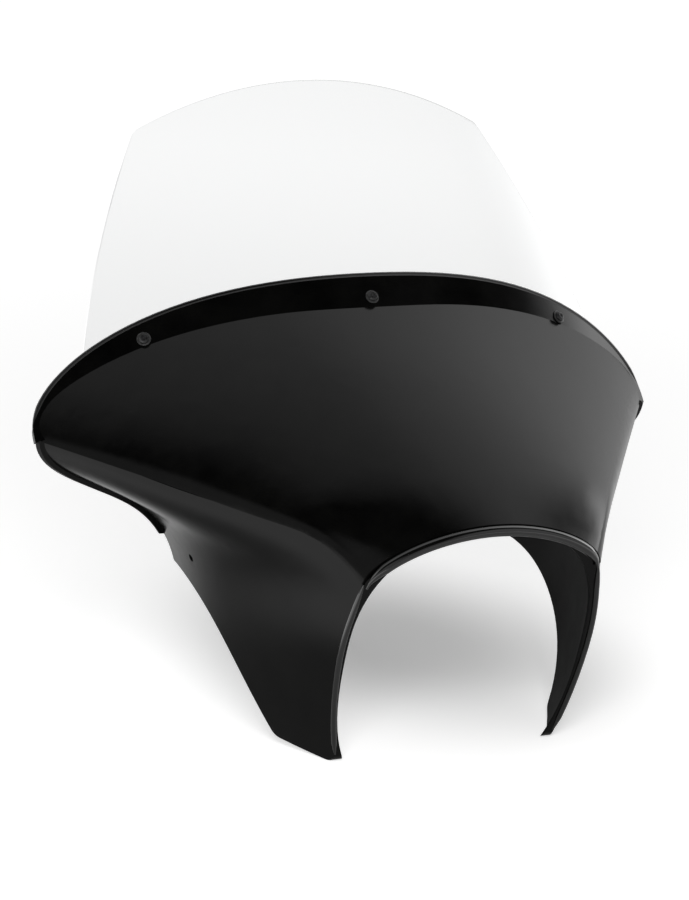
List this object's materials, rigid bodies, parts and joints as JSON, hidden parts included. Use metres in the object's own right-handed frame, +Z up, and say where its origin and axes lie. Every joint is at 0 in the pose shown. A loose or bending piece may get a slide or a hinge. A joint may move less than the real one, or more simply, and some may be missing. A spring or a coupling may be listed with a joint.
{
  "type": "batwing fairing",
  "caption": "Motorcycle headlight fairing: gloss black moulded hood with swept wings and legs round a headlight arch, and a clear curved screen screwed to its lip.",
  "frame": {"origin": "centre of the headlight arch, in the plane of the arch's front edge", "axes": "+X across the fairing, the front faces -Y, +Z up as fitted to the motorcycle"},
  "size_m": [0.609, 0.3849, 0.5242],
  "materials": {
    "shell": "gloss black",
    "screen": "clear acrylic sheet",
    "screw": "satin black",
    "washer": "black nylon",
    "pad": "matt black",
    "nut": "zinc plated"
  },
  "bodies": {
    "root": {"fairing_shell": "shell", "windscreen": "screen", "screen_screws": "screw", "head_washers": "washer", "rubber_pads": "pad", "nut_washers": "washer", "lock_nuts": "nut"}
  },
  "joints": []
}
